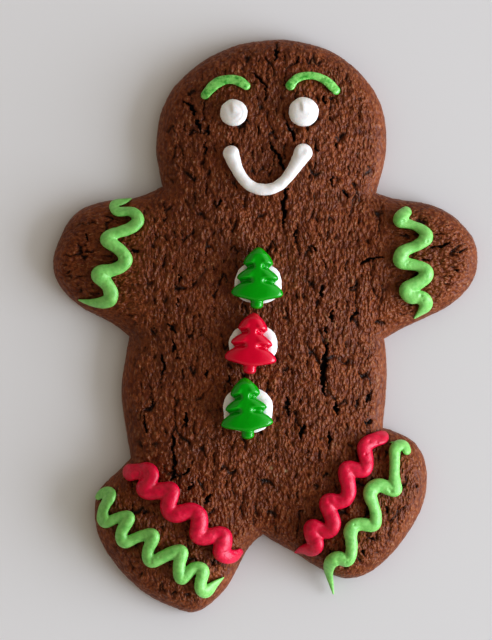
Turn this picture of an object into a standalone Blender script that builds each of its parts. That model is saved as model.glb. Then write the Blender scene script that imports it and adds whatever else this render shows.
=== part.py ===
# A gingerbread man biscuit, piped with icing by hand and dressed with three sugar trees.
# It lies on its flat underside with its face up. +Y runs to the head and +Z up, and left and
# right are -X and +X, as seen from above. The origin is under the middle of the outline.
# Layout tables and driving dimensions are in millimetres, and every mesh is made in metres.

import math

import bpy
import numpy as np
from mathutils.geometry import delaunay_2d_cdt

MM = 0.001
GAP = 0.35               # left between two pieces that touch

# The biscuit
CROWN_HEIGHT = 10.8      # top of the puffed middle
SHOULDER_HEIGHT = 6.3    # where the rounded edge meets the top
RIM_HEIGHT = 1.3         # where the side wall turns into the rounded edge
EDGE_ROUND = 5.0         # width of the rounded edge, seen from above
CROWN_REACH = 22.0       # distance in from the edge at which the top stops rising
SWELL_POWER = 4          # how much the nearest edge counts over all the others in that distance
SWELL_START = 2.0        # width over which the rise begins
# The wall between the flat underside and the widest outline: (inset, height) of each ring.
WALL_RINGS = ((0.9, 0.0), (0.3, 0.3), (0.06, 0.75))
EDGE_RINGS = 5           # steps over the rounded edge
OUTLINE_STEP = 3.1       # spacing of points along the outline
CROWN_STEP = 6.0         # spacing of points over the puffed middle

# The icing
STRAND_STEP = 1.35       # spacing of stations along a piped strand
OVERHANG_FROM = 1.0      # closer to the edge than this, icing leaves the biscuit and droops
DROOP_LENGTH = 2.5       # over which a drooping tail bends back towards level
BEND_SHARE = 0.95        # of the way to the middle of a sharp bend, which a strand's inside fills
SPECK_SIZE = 0.1         # side of the cube that a strand's own folds are joined with
DOME_SIDES = 20          # around an eye or a dot
DOT_HEIGHT = 1.3         # flattened blobs that hold the trees

# The sugar trees
TREE_LENGTH = 14.6
TREE_THICKNESS = 3.2
TREE_TRUNK_HALF_WIDTH = 1.5
TREE_TIER_TIPS = ((4.1, 3.5), (7.5, 4.9), (10.9, 6.1))     # (along the tree, half width)
TREE_NOTCH_DEPTH = 1.0   # how far each notch cuts in behind the tips above it
TREE_NOTCH_LENGTH = 0.85
TREE_POINT_HALF_WIDTH = 0.35
TREE_HEM = ((0.5, 0.95), (1.0, 0.74), (1.35, 0.46)) # (below the last tips, share of their width)
TREE_HEM_LENGTH = 1.65   # from the last tips to the bare trunk
TREE_TRUNK_END = ((0.3, 0.95), (0.0, 0.6))          # (from the end, share of the trunk's width)
TREE_THIN_FROM = 2.5     # narrower than this half width, a section is thinner too
TREE_THINNEST = 0.45     # share of the full thickness that is left at no width

# The outline, going round anticlockwise from the right side of the neck. Neighbouring
# stretches meet in the sharp inner corners: neck, armpits, hips and crotch.
OUTLINE = {
    "head": (
        (26, 31.5), (28, 39), (28.3, 47), (25.5, 55.5), (19, 62.5), (9, 67), (0.5, 67.5),
        (-8, 66), (-16, 61.7), (-22.5, 55), (-25.7, 46.5), (-25.7, 39), (-24.4, 33),
    ),
    "left_arm": (
        (-24.4, 33), (-31.5, 30.2), (-38.5, 29.2), (-44.5, 26.8), (-48.5, 21), (-50, 13),
        (-47, 7.5), (-40.5, 3), (-34.5, -0.5), (-32.3, -2.5),
    ),
    "left_side": ((-32.3, -2.5), (-33.2, -8), (-34, -14.5), (-33.5, -21.5), (-31.9, -31)),
    "left_foot": (
        (-31.9, -31), (-35.5, -34.8), (-39.3, -38.8), (-40.3, -45.5), (-38, -52.5),
        (-33.3, -58.8), (-27, -63.8), (-20.5, -66.8), (-16.8, -67.4), (-13, -65.4),
        (-8.3, -60.2), (-5, -53.8), (-2.5, -50.6), (-0.7, -49.1),
    ),
    "right_foot": (
        (-0.7, -49.1), (2.4, -51), (6.5, -53.3), (13, -57.3), (19.5, -59.4), (26, -56.8),
        (31.5, -51.5), (35.7, -45.3), (38, -38), (37.3, -31), (34.5, -27), (30.5, -25),
        (27.5, -24),
    ),
    "right_side": ((27.5, -24), (28, -18), (28.5, -11), (27.9, -3)),
    "right_arm": (
        (27.9, -3), (32.5, -0.3), (39, 2.7), (45, 6.3), (49, 11.5), (49.6, 18.5),
        (45.5, 24.8), (38.5, 28.8), (31.5, 29.9), (26, 31.5),
    ),
}

# Piped strands: x, y and half width at the points that the hand went through, and how high the
# strand stands for its half width.
STRANDS = {
    "icing_arm_left": {
        "finish": "green_icing", "height": 1.55,
        "route": (
            (-31.7, 30.0, 0.2), (-33.9, 29.2, 0.8), (-35.8, 28.4, 1.0), (-35.5, 27.4, 1.1),
            (-31.5, 26.8, 1.2), (-29.9, 25.1, 1.45), (-31.5, 23.1, 1.45), (-34.8, 21.9, 1.4),
            (-37.2, 20.4, 1.65), (-34.9, 18.4, 1.5), (-32.9, 15.2, 1.65), (-36.1, 13.1, 1.55),
            (-39.1, 12.0, 1.95), (-37.5, 10.1, 1.65), (-36.5, 6.4, 1.75), (-40.9, 5.5, 0.9),
            (-44.0, 6.1, 0.2),
        ),
    },
    "icing_arm_right": {
        "finish": "green_icing", "height": 1.5,
        "route": (
            (33.0, 26.8, 1.35), (31.6, 24.9, 1.7), (34.2, 23.8, 1.1), (37.7, 21.0, 1.65),
            (34.6, 18.5, 1.3), (32.1, 17.1, 1.65), (31.6, 15.7, 1.8), (36.0, 14.0, 1.35),
            (37.7, 12.4, 1.75), (36.8, 10.8, 1.65), (33.2, 7.9, 1.9), (34.1, 7.1, 1.85),
            (36.0, 6.8, 1.65), (37.6, 5.5, 1.75), (36.3, 3.1, 0.85), (35.0, 1.8, 0.2),
        ),
    },
    "icing_foot_left_red": {
        "finish": "red_icing", "height": 1.45,
        "route": (
            (-31.6, -34.4, 2.1), (-29.4, -34.1, 1.85), (-27.2, -34.3, 2.05), (-27.2, -36.0, 1.95),
            (-28.2, -38.2, 2.2), (-26.2, -38.8, 2.05), (-22.2, -38.8, 2.05), (-22.7, -43.1, 1.95),
            (-21.7, -44.0, 2.05), (-16.8, -43.4, 1.95), (-15.6, -44.9, 2.05), (-15.7, -49.2, 2.05),
            (-12.3, -49.2, 2.0), (-10.0, -49.3, 2.1), (-10.0, -51.3, 2.05), (-10.4, -53.2, 2.0),
            (-9.2, -54.0, 1.9), (-7.2, -53.9, 1.5), (-6.1, -53.2, 0.9),
        ),
    },
    "icing_foot_left_green": {
        "finish": "green_icing", "height": 1.6,
        "route": (
            (-39.4, -40.3, 0.75), (-38.1, -39.3, 1.2), (-36.6, -39.2, 1.4), (-37.4, -41.6, 1.3),
            (-38.3, -44.3, 1.4), (-37.9, -46.0, 1.5), (-35.6, -45.4, 1.25), (-32.2, -44.9, 1.5),
            (-33.9, -49.7, 1.45), (-33.4, -50.6, 1.5), (-30.9, -50.0, 1.3), (-26.4, -49.2, 1.6),
            (-27.7, -54.1, 1.4), (-27.2, -55.1, 1.5), (-24.5, -54.4, 1.5), (-19.8, -53.2, 1.7),
            (-20.2, -55.6, 1.5), (-19.7, -59.3, 1.5), (-16.0, -56.6, 1.4), (-15.0, -57.0, 1.5),
            (-15.1, -61.9, 1.5), (-14.4, -62.4, 1.6), (-12.7, -61.4, 1.2), (-9.9, -59.2, 0.2),
        ),
    },
    "icing_foot_right_red": {
        "finish": "red_icing", "height": 1.45,
        "route": (
            (26.3, -27.3, 1.4), (25.1, -27.5, 1.7), (23.5, -28.0, 1.85), (23.6, -32.9, 1.7),
            (23.1, -33.7, 1.8), (21.3, -33.7, 1.8), (19.2, -33.5, 1.9), (19.5, -38.5, 1.8),
            (17.7, -41.1, 1.8), (14.4, -41.3, 1.9), (15.0, -43.6, 1.8), (15.4, -47.6, 1.9),
            (14.1, -48.2, 1.8), (11.0, -47.3, 2.0), (11.1, -49.5, 1.9), (11.7, -51.2, 2.0),
            (11.1, -52.3, 1.9), (9.6, -52.5, 1.5), (6.9, -53.4, 0.2),
        ),
    },
    "icing_foot_right_green": {
        "finish": "green_icing", "height": 1.5,
        "route": (
            (33.2, -29.3, 1.05), (32.4, -28.1, 1.25), (30.8, -28.4, 1.4), (30.3, -30.8, 1.3),
            (30.4, -37.0, 1.45), (30.4, -38.5, 1.6), (28.6, -38.0, 1.6), (26.5, -37.4, 1.7),
            (24.8, -38.4, 1.75), (25.6, -43.0, 1.35), (25.2, -46.8, 1.55), (22.7, -46.5, 1.55),
            (20.4, -47.2, 1.7), (20.2, -52.4, 1.4), (18.9, -55.1, 1.55), (17.5, -54.6, 1.7),
            (15.5, -55.4, 1.7), (14.9, -57.8, 1.1), (15.3, -60.0, 0.7), (16.0, -63.2, 0.2),
        ),
    },
    "brow_left": {
        "finish": "green_icing", "height": 1.05,
        "route": ((-14.2, 54.2, 1.05), (-12.7, 56.0, 1.25), (-10.5, 57.5, 1.2), (-7.9, 57.9, 1.1),
                  (-5.9, 57.3, 1.2), (-4.6, 56.4, 1.05)),
    },
    "brow_right": {
        "finish": "green_icing", "height": 1.05,
        "route": ((5.8, 56.4, 1.15), (6.9, 57.8, 1.05), (10.0, 58.8, 0.95), (12.9, 58.3, 0.95),
                  (15.0, 56.9, 1.1), (16.5, 55.3, 1.05)),
    },
    "mouth": {
        "finish": "white_icing", "height": 1.3,
        "route": ((-8.1, 40.4, 1.95), (-6.7, 36.8, 1.45), (-3.1, 32.6, 1.35), (1.8, 32.3, 1.35),
                  (6.1, 36.2, 1.45), (8.8, 40.6, 2.2)),
    },
}

# Round blobs of white icing: x, y, radius and height.
EYES = {
    "eye_left": (-7.5, 50.0, 3.2, 2.7),
    "eye_right": (8.9, 50.2, 3.5, 2.9),
}

# Each tree's pointed end, the turn of its axis from straight down the biscuit in degrees, the
# centre of the icing dot under it with half the dot's width and its length for that width, and
# the tree's finish.
TREES = {
    "top": ((-1.6, 18.5), -2.0, (-1.8, 10.0, 5.4, 0.88), "green_candy"),
    "middle": ((-2.7, 3.2), -4.5, (-2.9, -4.5, 5.6, 0.84), "red_candy"),
    "bottom": ((-5.0, -12.0), 3.5, (-4.2, -19.7, 5.8, 0.9), "green_candy"),
}

# Base colour as sRGB hex, and roughness.
FINISHES = {
    "biscuit": ("5e3826", 0.85),
    "green_icing": ("6cc455", 0.45),
    "red_icing": ("d42a53", 0.45),
    "white_icing": ("efedeb", 0.45),
    "green_candy": ("0f9a26", 0.15),
    "red_candy": ("d2062c", 0.15),
}


def clear_scene():
    for item in list(bpy.data.objects):
        bpy.data.objects.remove(item)


def linear(hex_colour):
    """sRGB hex to the linear RGBA that Blender's sockets take."""
    parts = [int(hex_colour[i:i + 2], 16) / 255 for i in (0, 2, 4)]
    return [c / 12.92 if c <= 0.04045 else ((c + 0.055) / 1.055) ** 2.4 for c in parts] + [1.0]


def make_materials():
    made = {}
    for name, (colour, roughness) in FINISHES.items():
        material = bpy.data.materials.new(name)
        material.use_nodes = True
        shader = material.node_tree.nodes["Principled BSDF"]
        shader.inputs["Base Color"].default_value = linear(colour)
        shader.inputs["Roughness"].default_value = roughness
        shader.inputs["Metallic"].default_value = 0.0
        made[name] = material
    return made


def add_solid(name, points, faces, material):
    """One object from points in millimetres and its faces, shaded smooth up to sharp edges."""
    mesh = bpy.data.meshes.new(name)
    mesh.from_pydata((np.asarray(points) * MM).tolist(), [], faces)
    mesh.shade_smooth()
    mesh.set_sharp_from_angle(angle=math.radians(50))
    mesh.materials.append(material)
    obj = bpy.data.objects.new(name, mesh)
    bpy.context.scene.collection.objects.link(obj)
    return obj


def smooth_through(points, step):
    """Natural cubic spline through rows of numbers, sampled about every `step` of its chord length."""
    rows = np.array(points, float)
    chords = np.linalg.norm(np.diff(rows[:, :2], axis=0), axis=1)
    knots = np.concatenate([[0.0], np.cumsum(chords)])
    count = len(rows)
    system = np.eye(count)
    right = np.zeros_like(rows)
    for i in range(1, count - 1):
        before, after = chords[i - 1], chords[i]
        system[i, i - 1:i + 2] = before, 2 * (before + after), after
        right[i] = 6 * ((rows[i + 1] - rows[i]) / after - (rows[i] - rows[i - 1]) / before)
    bend = np.linalg.solve(system, right)
    along = np.linspace(0, knots[-1], max(3, round(knots[-1] / step)) + 1)
    k = np.clip(np.searchsorted(knots, along, side="right") - 1, 0, count - 2)
    width = chords[k][:, None]
    to_next = (knots[k + 1] - along)[:, None]
    from_last = (along - knots[k])[:, None]
    curve = (bend[k] * to_next**3 + bend[k + 1] * from_last**3) / (6 * width)
    curve += (rows[k] / width - bend[k] * width / 6) * to_next
    return curve + (rows[k + 1] / width - bend[k + 1] * width / 6) * from_last


def outline_points():
    """The closed outline, anticlockwise, with the middle of its box at the origin."""
    stretches = [smooth_through(points, OUTLINE_STEP)[:-1] for points in OUTLINE.values()]
    loop = np.concatenate(stretches)
    return loop - (loop.min(axis=0) + loop.max(axis=0)) / 2


def inward_normals(loop):
    ahead = np.roll(loop, -1, axis=0) - np.roll(loop, 1, axis=0)
    ahead /= np.linalg.norm(ahead, axis=1, keepdims=True)
    return np.stack([-ahead[:, 1], ahead[:, 0]], axis=1)


def distance_inside(points, loop):
    """Distance to the outline of each point: positive inside it, negative outside."""
    start, end = loop, np.roll(loop, -1, axis=0)
    run = end - start
    away = points[:, None, :] - start[None]
    share = np.clip((away * run).sum(-1) / (run * run).sum(-1), 0, 1)
    nearest = np.linalg.norm(away - share[..., None] * run, axis=-1).min(axis=1)
    x, y = points[:, 0, None], points[:, 1, None]
    straddles = (start[:, 1] > y) != (end[:, 1] > y)
    rise = np.where(run[:, 1] == 0, 1, run[:, 1])
    crossing = start[:, 0] + (y - start[:, 1]) * run[:, 0] / rise
    inside = ((straddles & (x < crossing)).sum(axis=1) % 2) == 1
    return np.where(inside, nearest, -nearest)


def edge_height(inset):
    """Height of the rounded edge at a distance in from the outline: a quarter ellipse up from
    the rim to the shoulder, and level from there on."""
    back = 1 - np.clip(inset / EDGE_ROUND, 0, 1)
    return RIM_HEIGHT + (SHOULDER_HEIGHT - RIM_HEIGHT) * np.sqrt(1 - back**2)


def swell(points, loop):
    """How far the puffed middle rises over the shoulder. It grows with a smooth distance from
    the outline: each stretch of outline adds its length over a power of its distance, and the
    sum is scaled so that one long straight edge gives the plain distance."""
    start, end = loop, np.roll(loop, -1, axis=0)
    lengths = np.linalg.norm(end - start, axis=1)
    away = np.linalg.norm(points[:, None, :] - (start + end) / 2, axis=-1)
    total = (lengths * np.hypot(away, SWELL_START) ** -SWELL_POWER).sum(axis=1)
    power = SWELL_POWER - 1
    straight = math.sqrt(math.pi) * math.gamma(power / 2) / math.gamma(SWELL_POWER / 2)
    smooth_distance = (total / straight) ** (-1 / power) - SWELL_START
    share = np.clip(smooth_distance / CROWN_REACH, 0, 1)
    rise = (CROWN_HEIGHT - SHOULDER_HEIGHT) * np.sin(share * math.pi / 2)
    return np.where(distance_inside(points, loop) > 0, rise, 0)


def icing_height(points, loop):
    """Height at which icing lies: on the top, but past the edge it droops free of the wall, at
    the slope that it had there and then ever flatter."""
    inset = distance_inside(points, loop)
    small = 0.01
    lip = edge_height(OVERHANG_FROM)
    edge_slope = (edge_height(OVERHANG_FROM + small) - lip) / small
    past = np.maximum(OVERHANG_FROM - inset, 0)
    droop = edge_slope * DROOP_LENGTH * (1 - np.exp(-past / DROOP_LENGTH))
    lying = np.where(inset < OVERHANG_FROM, lip - droop, edge_height(inset))
    return lying + swell(points, loop)


def band(first, second, count):
    """Faces between two closed rings of points that start at these indices."""
    return [(first + i, first + (i + 1) % count, second + (i + 1) % count, second + i)
            for i in range(count)]


def make_biscuit(loop, material):
    """Rings carried in from the outline, up the wall and over the rounded edge, closed by a flat
    sole below and a triangulated crown above."""
    normals = inward_normals(loop)
    count = len(loop)
    turns = np.arange(EDGE_RINGS + 1) / EDGE_RINGS * math.pi / 2
    edge_insets = EDGE_ROUND * (1 - np.cos(turns))
    rings = [np.column_stack([loop + normals * inset, np.full(count, height)])
             for inset, height in WALL_RINGS]
    for inset in edge_insets:
        ring = loop + normals * inset
        rings.append(np.column_stack([ring, edge_height(inset) + swell(ring, loop)]))
    faces = [tuple(range(count))[::-1]]
    for i in range(len(rings) - 1):
        faces += band(i * count, (i + 1) * count, count)

    inner_ring = rings[-1][:, :2]
    reach = loop.max(axis=0)
    rows = np.arange(-reach[1], reach[1], CROWN_STEP * math.sqrt(0.75))
    columns = np.arange(-reach[0], reach[0], CROWN_STEP)
    grid = np.array([(x + CROWN_STEP / 2 * (j % 2), y) for j, y in enumerate(rows) for x in columns])
    inset = distance_inside(grid, loop)
    kept = inset > EDGE_ROUND + CROWN_STEP / 2
    flat = np.concatenate([inner_ring, grid[kept]])
    made = delaunay_2d_cdt([tuple(p) for p in flat.tolist()], [], [list(range(count))], 1, 1e-6)
    crown = np.column_stack([grid[kept], SHOULDER_HEIGHT + swell(grid[kept], loop)])
    first = (len(rings) - 1) * count
    source = [origins[0] for origins in made[3]]
    faces += [tuple(first + source[corner] for corner in face) for face in made[2]]
    return add_solid("biscuit", np.concatenate(rings + [crown]), faces, material)


# Where the sections that close a strand's end stand, as shares of its half width.
END_STEPS = np.array([0.45, 0.8, 0.97])


def rounded_ends(route):
    """Carries a strand past its two end points by their half width, closing in as a half circle."""
    ends = []
    for end, inner in ((route[0], route[1]), (route[-1], route[-2])):
        out = end[:2] - inner[:2]
        out /= np.linalg.norm(out)
        radius = end[2]
        places = end[:2] + out * (END_STEPS * radius)[:, None]
        ends.append(np.column_stack([places, radius * np.sqrt(1 - END_STEPS**2)]))
    return np.concatenate([ends[0][::-1], route, ends[1]])


# Cross-section of a strand: (across, up) as shares of its half width and its height.
STRAND_SECTION = np.array([
    (-0.8, 0.0), (0.0, 0.0), (0.8, 0.0), (1.0, 0.38), (0.66, 0.86), (0.0, 1.0), (-0.66, 0.86),
    (-1.0, 0.38),
])


def cross(first, second):
    return first[:, 0] * second[:, 1] - first[:, 1] * second[:, 0]


def bend_reach(places, sideways):
    """How far a strand can reach sideways at each place before its cross-section there meets the
    one before or after it, as on the inside of a sharp bend."""
    step = np.diff(places, axis=0)
    before, after = sideways[:-1], sideways[1:]
    turning = cross(before, after)
    bending = np.abs(turning) > 1e-9
    safe = np.where(bending, turning, 1)
    reach_before = np.where(bending, cross(step, after) / safe, -1)
    reach_after = np.where(bending, cross(step, before) / safe, -1)
    meets = (reach_before > 0) & (reach_after > 0)
    limit = np.full(len(places), np.inf)
    limit[:-1] = np.where(meets, reach_before, np.inf)
    limit[1:] = np.minimum(limit[1:], np.where(meets, reach_after, np.inf))
    return BEND_SHARE * limit


def join_folds(strand, inside):
    """Makes one body of a strand that folds against itself. The Boolean union is with a speck
    that lies wholly inside it, and its self setting joins the strand's own overlaps."""
    reach = SPECK_SIZE / 2
    corners = [(x, y, z) for x in (-reach, reach) for y in (-reach, reach) for z in (-reach, reach)]
    sides = [(0, 1, 3, 2), (4, 6, 7, 5), (0, 4, 5, 1), (2, 3, 7, 6), (0, 2, 6, 4), (1, 5, 7, 3)]
    finish = strand.data.materials[0]
    speck = add_solid(strand.name + "_speck", inside + np.array(corners), sides, finish)
    speck.hide_render = True
    speck.display_type = "WIRE"
    union = strand.modifiers.new("join folds", "BOOLEAN")
    union.operation = "UNION"
    union.solver = "EXACT"
    union.use_self = True
    union.object = speck


def make_strand(name, settings, loop, material):
    """A D-shaped section carried along the strand's route, lying on the biscuit."""
    route = rounded_ends(smooth_through(settings["route"], STRAND_STEP))
    ahead = np.gradient(route[:, :2], axis=0)
    ahead /= np.linalg.norm(ahead, axis=1, keepdims=True)
    sideways = np.stack([ahead[:, 1], -ahead[:, 0]], axis=1)
    half_width = route[:, 2]
    up = STRAND_SECTION[:, 1]
    right = bend_reach(route[:, :2], sideways)[:, None]
    left = bend_reach(route[:, :2], -sideways)[:, None]
    across = np.clip(half_width[:, None] * STRAND_SECTION[:, 0], -left, right)
    flat = route[:, None, :2] + sideways[:, None] * across[..., None]
    under = icing_height(flat.reshape(-1, 2), loop).reshape(flat.shape[:2])
    height = under + GAP + (settings["height"] * half_width)[:, None] * up
    points = np.concatenate([flat, height[..., None]], axis=2).reshape(-1, 3)
    sides = len(STRAND_SECTION)
    last = (len(route) - 1) * sides
    faces = [tuple(range(sides)), tuple(range(last, last + sides))[::-1]]
    for i in range(len(route) - 1):
        faces += band((i + 1) * sides, i * sides, sides)
    strand = add_solid(name, points, faces, material)
    middle = len(route) // 2 * sides
    join_folds(strand, points[middle:middle + sides].mean(axis=0))


def make_blob(name, centre, radius, profile, loop, material, length=1.0, level=False):
    """Rings of a turned profile of (share of radius, height) pairs, from under the middle to the
    top of the middle. A length under 1 makes the blob an oval that is wider than it is long, and
    a level blob stands on the height under its centre."""
    turn = np.arange(DOME_SIDES) / DOME_SIDES * 2 * math.pi
    circle = np.column_stack([np.cos(turn), length * np.sin(turn)])
    flat = [np.array([centre])]
    flat += [centre + circle * radius * share for share, _ in profile[1:-1]]
    flat.append(np.array([centre]))
    points = []
    for ring, (_, height) in zip(flat, profile):
        under = icing_height(ring, loop)
        if level and height > 0:
            under = np.full(len(ring), icing_height(np.array([centre]), loop)[0])
        points.append(np.column_stack([ring, under + GAP + height]))
    last = 1 + DOME_SIDES * (len(profile) - 2)
    faces = [(0, 1 + (i + 1) % DOME_SIDES, 1 + i) for i in range(DOME_SIDES)]
    for i in range(len(profile) - 3):
        faces += band(1 + i * DOME_SIDES, 1 + (i + 1) * DOME_SIDES, DOME_SIDES)
    top = last - DOME_SIDES
    faces += [(top + i, top + (i + 1) % DOME_SIDES, last) for i in range(DOME_SIDES)]
    return add_solid(name, np.concatenate(points), faces, material)


def eye_profile(height):
    """A piped dot: a foot a little inside the widest ring, full sides and a low dome."""
    dome = [(0.0, 0.0), (0.86, 0.0), (1.0, 0.32 * height), (0.93, 0.62 * height)]
    return dome + [(0.7, 0.86 * height), (0.36, 0.97 * height), (0.0, height)]


def dot_profile(height):
    """A dot pressed flat by the tree on it: round sides and a level top."""
    return [(0.0, 0.0), (0.93, 0.0), (1.0, 0.45 * height), (0.95, 0.85 * height),
            (0.84, height), (0.0, height)]


def tree_stations():
    """(along the tree, half width) from the pointed end down. Each tier swings out to its tips,
    then a notch cuts back in behind them, and the last one runs in to the trunk."""
    start, start_width = 0.0, TREE_POINT_HALF_WIDTH
    stations = [(start, start_width)]
    for tip, tip_width in TREE_TIER_TIPS:
        for share in (0.35, 0.7, 1.0):
            swing = math.sin(share * math.pi / 2)
            stations.append((start + (tip - start) * share,
                             start_width + (tip_width - start_width) * swing))
        if (tip, tip_width) != TREE_TIER_TIPS[-1]:
            start, start_width = tip + TREE_NOTCH_LENGTH, tip_width - TREE_NOTCH_DEPTH
            stations.append((start, start_width))
    last_tips, widest = TREE_TIER_TIPS[-1]
    stations += [(last_tips + below, widest * share) for below, share in TREE_HEM]
    stations.append((last_tips + TREE_HEM_LENGTH, TREE_TRUNK_HALF_WIDTH))
    stations += [(TREE_LENGTH - before, TREE_TRUNK_HALF_WIDTH * share)
                 for before, share in TREE_TRUNK_END]
    return stations


# Cross-section of a tree: (across, up) as shares of its half width and its thickness.
TREE_SECTION = np.array([
    (-0.96, 0.0), (0.96, 0.0), (1.0, 0.35), (0.62, 0.84), (0.0, 1.0), (-0.62, 0.84), (-1.0, 0.35),
])


def make_tree(name, tip, turn_degrees, base_height, material):
    """Flat-backed sections, wide and low, lofted from the pointed end down to the trunk."""
    turn = math.radians(turn_degrees)
    down = np.array([math.sin(turn), -math.cos(turn)])
    right = np.array([math.cos(turn), math.sin(turn)])
    sides = len(TREE_SECTION)
    rows = []
    stations = tree_stations()
    for along, half_width in stations:
        fullness = TREE_THINNEST + (1 - TREE_THINNEST) * half_width / TREE_THIN_FROM
        thickness = TREE_THICKNESS * min(1.0, fullness)
        places = np.array(tip) + down * along + right * (half_width * TREE_SECTION[:, :1])
        rows.append(np.column_stack([places, base_height + thickness * TREE_SECTION[:, 1]]))
    last = (len(stations) - 1) * sides
    faces = [tuple(range(sides))[::-1], tuple(range(last, last + sides))]
    for i in range(len(stations) - 1):
        faces += band(i * sides, (i + 1) * sides, sides)
    return add_solid(name, np.concatenate(rows), faces, material)


def make_cookie():
    clear_scene()
    materials = make_materials()
    loop = outline_points()
    make_biscuit(loop, materials["biscuit"])
    for name, settings in STRANDS.items():
        make_strand(name, settings, loop, materials[settings["finish"]])
    for name, (x, y, radius, height) in EYES.items():
        make_blob(name, (x, y), radius, eye_profile(height), loop, materials["white_icing"])
    for place, (tip, turn, (x, y, radius, length), finish) in TREES.items():
        make_blob("dot_" + place, (x, y), radius, dot_profile(DOT_HEIGHT), loop,
                  materials["white_icing"], length, level=True)
        base = icing_height(np.array([(x, y)]), loop)[0] + GAP + DOT_HEIGHT + GAP
        make_tree("tree_" + place, tip, turn, base, materials[finish])


make_cookie()
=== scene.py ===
import itertools
import math

import bpy
import numpy as np
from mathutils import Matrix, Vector
from mathutils.geometry import delaunay_2d_cdt


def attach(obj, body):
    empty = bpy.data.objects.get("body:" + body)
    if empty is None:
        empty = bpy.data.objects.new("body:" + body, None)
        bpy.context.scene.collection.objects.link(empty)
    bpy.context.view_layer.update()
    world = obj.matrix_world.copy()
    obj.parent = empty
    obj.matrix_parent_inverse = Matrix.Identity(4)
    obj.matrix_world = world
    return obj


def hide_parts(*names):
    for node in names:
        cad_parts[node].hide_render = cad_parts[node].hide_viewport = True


# A gingerbread man biscuit with piped icing and sugar trees, lying face up on a pale table.
# Shapes are worked out in millimetres and put into their meshes in metres. +Y runs to the head,
# +Z is up, and left and right are -X and +X.

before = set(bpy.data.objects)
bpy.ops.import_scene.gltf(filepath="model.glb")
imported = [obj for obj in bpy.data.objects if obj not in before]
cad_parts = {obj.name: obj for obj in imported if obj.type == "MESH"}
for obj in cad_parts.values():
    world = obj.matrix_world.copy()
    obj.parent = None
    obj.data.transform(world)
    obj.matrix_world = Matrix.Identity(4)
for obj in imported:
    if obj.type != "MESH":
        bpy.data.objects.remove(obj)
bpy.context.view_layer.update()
mm = 0.001


# Shared tools

def addMesh(name, points, faces, material, node):
    # One smooth mesh with its place in its points, riding on the body and shown for a CAD node.
    mesh = bpy.data.meshes.new(name)
    mesh.from_pydata((np.asarray(points) * mm).tolist(), [], faces)
    mesh.shade_smooth()
    mesh.materials.append(material)
    piece = bpy.data.objects.new(name, mesh)
    bpy.context.scene.collection.objects.link(piece)
    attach(piece, "root")
    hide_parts(node)
    return piece


def smoothThrough(points, step):
    # Natural cubic spline: cubic pieces between the points that share slope and bend where they
    # meet, with no bend at the two ends, read about every `step` of its length.
    rows = np.array(points, float)
    chords = np.linalg.norm(np.diff(rows[:, :2], axis=0), axis=1)
    knots = np.concatenate([[0.0], np.cumsum(chords)])
    count = len(rows)
    inner = np.arange(1, count - 1)
    system = np.eye(count)
    system[inner, inner - 1] = chords[:-1]
    system[inner, inner] = 2 * (chords[:-1] + chords[1:])
    system[inner, inner + 1] = chords[1:]
    slopes = np.diff(rows, axis=0) / chords[:, None]
    right = np.zeros_like(rows)
    right[1:-1] = 6 * np.diff(slopes, axis=0)
    bend = np.linalg.solve(system, right)
    along = np.linspace(0, knots[-1], max(3, round(knots[-1] / step)) + 1)
    k = np.clip(np.searchsorted(knots, along, side="right") - 1, 0, count - 2)
    width = chords[k][:, None]
    toNext = (knots[k + 1] - along)[:, None]
    fromLast = (along - knots[k])[:, None]
    curve = (bend[k] * toNext**3 + bend[k + 1] * fromLast**3) / (6 * width)
    curve += (rows[k] / width - bend[k] * width / 6) * toNext
    return curve + (rows[k + 1] / width - bend[k + 1] * width / 6) * fromLast


def unit(vectors):
    return vectors / np.maximum(np.linalg.norm(vectors, axis=-1, keepdims=True), 1e-12)


def ease(value, low, high):
    # 0 below low and 1 above high, with a smooth S between them.
    share = np.clip((value - low) / (high - low), 0, 1)
    return share * share * (3 - 2 * share)


def scattered(cells):
    # A number from 0 to 4095 for each cell of a lattice, so scattered that neighbours differ.
    primes = np.array([73856093, 19349663, 83492791])[:cells.shape[1]]
    return np.bitwise_xor.reduce(cells * primes, axis=1) & 4095


def noise(places, size, seed):
    # Gradient noise, about -1 to 1. Every corner of a lattice of `size` mm cells has a random
    # direction and gives the distance along it, and an S-shaped fade blends a cell's corners.
    scaled = places / np.asarray(size)
    cell = np.floor(scaled).astype(np.int64)
    inside = scaled - cell
    fade = inside**3 * (inside * (inside * 6 - 15) + 10)
    directions = unit(np.random.default_rng(seed).normal(size=(4096, places.shape[1])))
    total = np.zeros(len(places))
    for corner in itertools.product((0, 1), repeat=places.shape[1]):
        slope = (directions[scattered(cell + corner)] * (inside - corner)).sum(axis=1)
        total += slope * np.where(np.array(corner) == 1, fade, 1 - fade).prod(axis=1)
    return 1.6 * total


def inParts(work, places, most=4000):
    # Runs a function on part of the points at a time, so that big tables fit in memory.
    return np.concatenate([work(part) for part in np.array_split(places, len(places) // most + 1)])


def band(first, second, count):
    # Four-sided faces between two closed rings of points that start at these indices.
    turn = np.arange(count)
    after = (turn + 1) % count
    return np.column_stack([first + turn, first + after, second + after, second + turn]).tolist()


def tubeFaces(rings, count, clockwise):
    # Faces of a tube of rings of `count` points, with both ends closed. `clockwise` says how the
    # rings turn as seen from the tube's start.
    last = (rings - 1) * count
    start, end = list(range(count)), list(range(last, last + count))
    faces = [start, end[::-1]] if clockwise else [start[::-1], end]
    for i in range(rings - 1):
        here, there = (i + 1, i) if clockwise else (i, i + 1)
        faces += band(here * count, there * count, count)
    return faces


def camelName(node):
    words = node.split("_")
    return words[0] + "".join(word.title() for word in words[1:])


def pointNormals(points, triangles):
    # The mean of the directions that a point's triangles face, each counted by its area.
    corner = points[triangles]
    facing = np.cross(corner[:, 1] - corner[:, 0], corner[:, 2] - corner[:, 0])
    total = np.zeros_like(points)
    for k in range(3):
        np.add.at(total, triangles[:, k], facing)
    return unit(total)


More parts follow.
